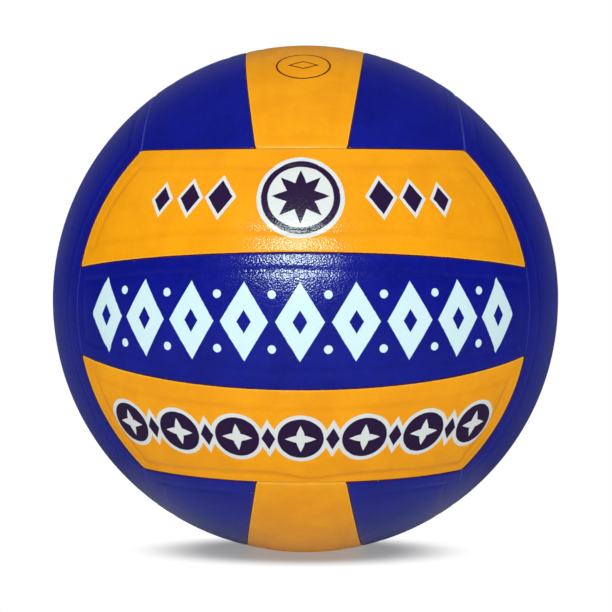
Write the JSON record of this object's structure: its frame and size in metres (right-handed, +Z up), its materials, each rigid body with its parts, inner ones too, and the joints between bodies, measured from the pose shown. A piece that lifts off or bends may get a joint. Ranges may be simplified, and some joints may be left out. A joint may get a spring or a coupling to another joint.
{
  "type": "volleyball",
  "caption": "Indoor volleyball: a cover of blue and orange leather strips glued over foam, a rubber carcass, a wound bladder and a needle valve.",
  "frame": {"origin": "the ball's centre", "axes": "+Y runs from the centre out through the needle valve, which is at the middle of the back face; the front face looks along -Y; +Z is up as pictured"},
  "size_m": [0.21, 0.2099, 0.21],
  "materials": {
    "blue_leather": "satin, fine pebble grain",
    "orange_leather": "satin, fine pebble grain",
    "foam": "open foam",
    "carcass_rubber": "moulded, matt",
    "nylon_thread": "wound thread",
    "bladder_rubber": "smooth butyl",
    "valve_rubber": "moulded, matt",
    "core_rubber": "moulded, matt"
  },
  "bodies": {
    "ball": {"front_top_panel": "orange_leather", "front_middle_panel": "blue_leather", "front_bottom_panel": "orange_leather", "back_top_panel": "orange_leather", "back_middle_panel": "blue_leather", "back_bottom_panel": "orange_leather", "left_back_panel": "blue_leather", "left_middle_panel": "orange_leather", "left_front_panel": "blue_leather", "right_back_panel": "blue_leather", "right_middle_panel": "orange_leather", "right_front_panel": "blue_leather", "top_left_panel": "blue_leather", "top_middle_panel": "orange_leather", "top_right_panel": "blue_leather", "bottom_left_panel": "blue_leather", "bottom_middle_panel": "orange_leather", "bottom_right_panel": "blue_leather", "front_top_foam": "foam", "front_middle_foam": "foam", "front_bottom_foam": "foam", "back_top_foam": "foam", "back_middle_foam": "foam", "back_bottom_foam": "foam", "left_back_foam": "foam", "left_middle_foam": "foam", "left_front_foam": "foam", "right_back_foam": "foam", "right_middle_foam": "foam", "right_front_foam": "foam", "top_left_foam": "foam", "top_middle_foam": "foam", "top_right_foam": "foam", "bottom_left_foam": "foam", "bottom_middle_foam": "foam", "bottom_right_foam": "foam", "carcass": "carcass_rubber", "thread_winding": "nylon_thread", "bladder": "bladder_rubber", "valve_housing": "valve_rubber"},
    "valve_core": {"valve_core": "core_rubber"}
  },
  "joints": [
    {"name": "valve_core_pull", "type": "slide", "parent": "ball", "child": "valve_core", "axis": [0, 1, 0], "range_m": [0, 0.026]}
  ]
}
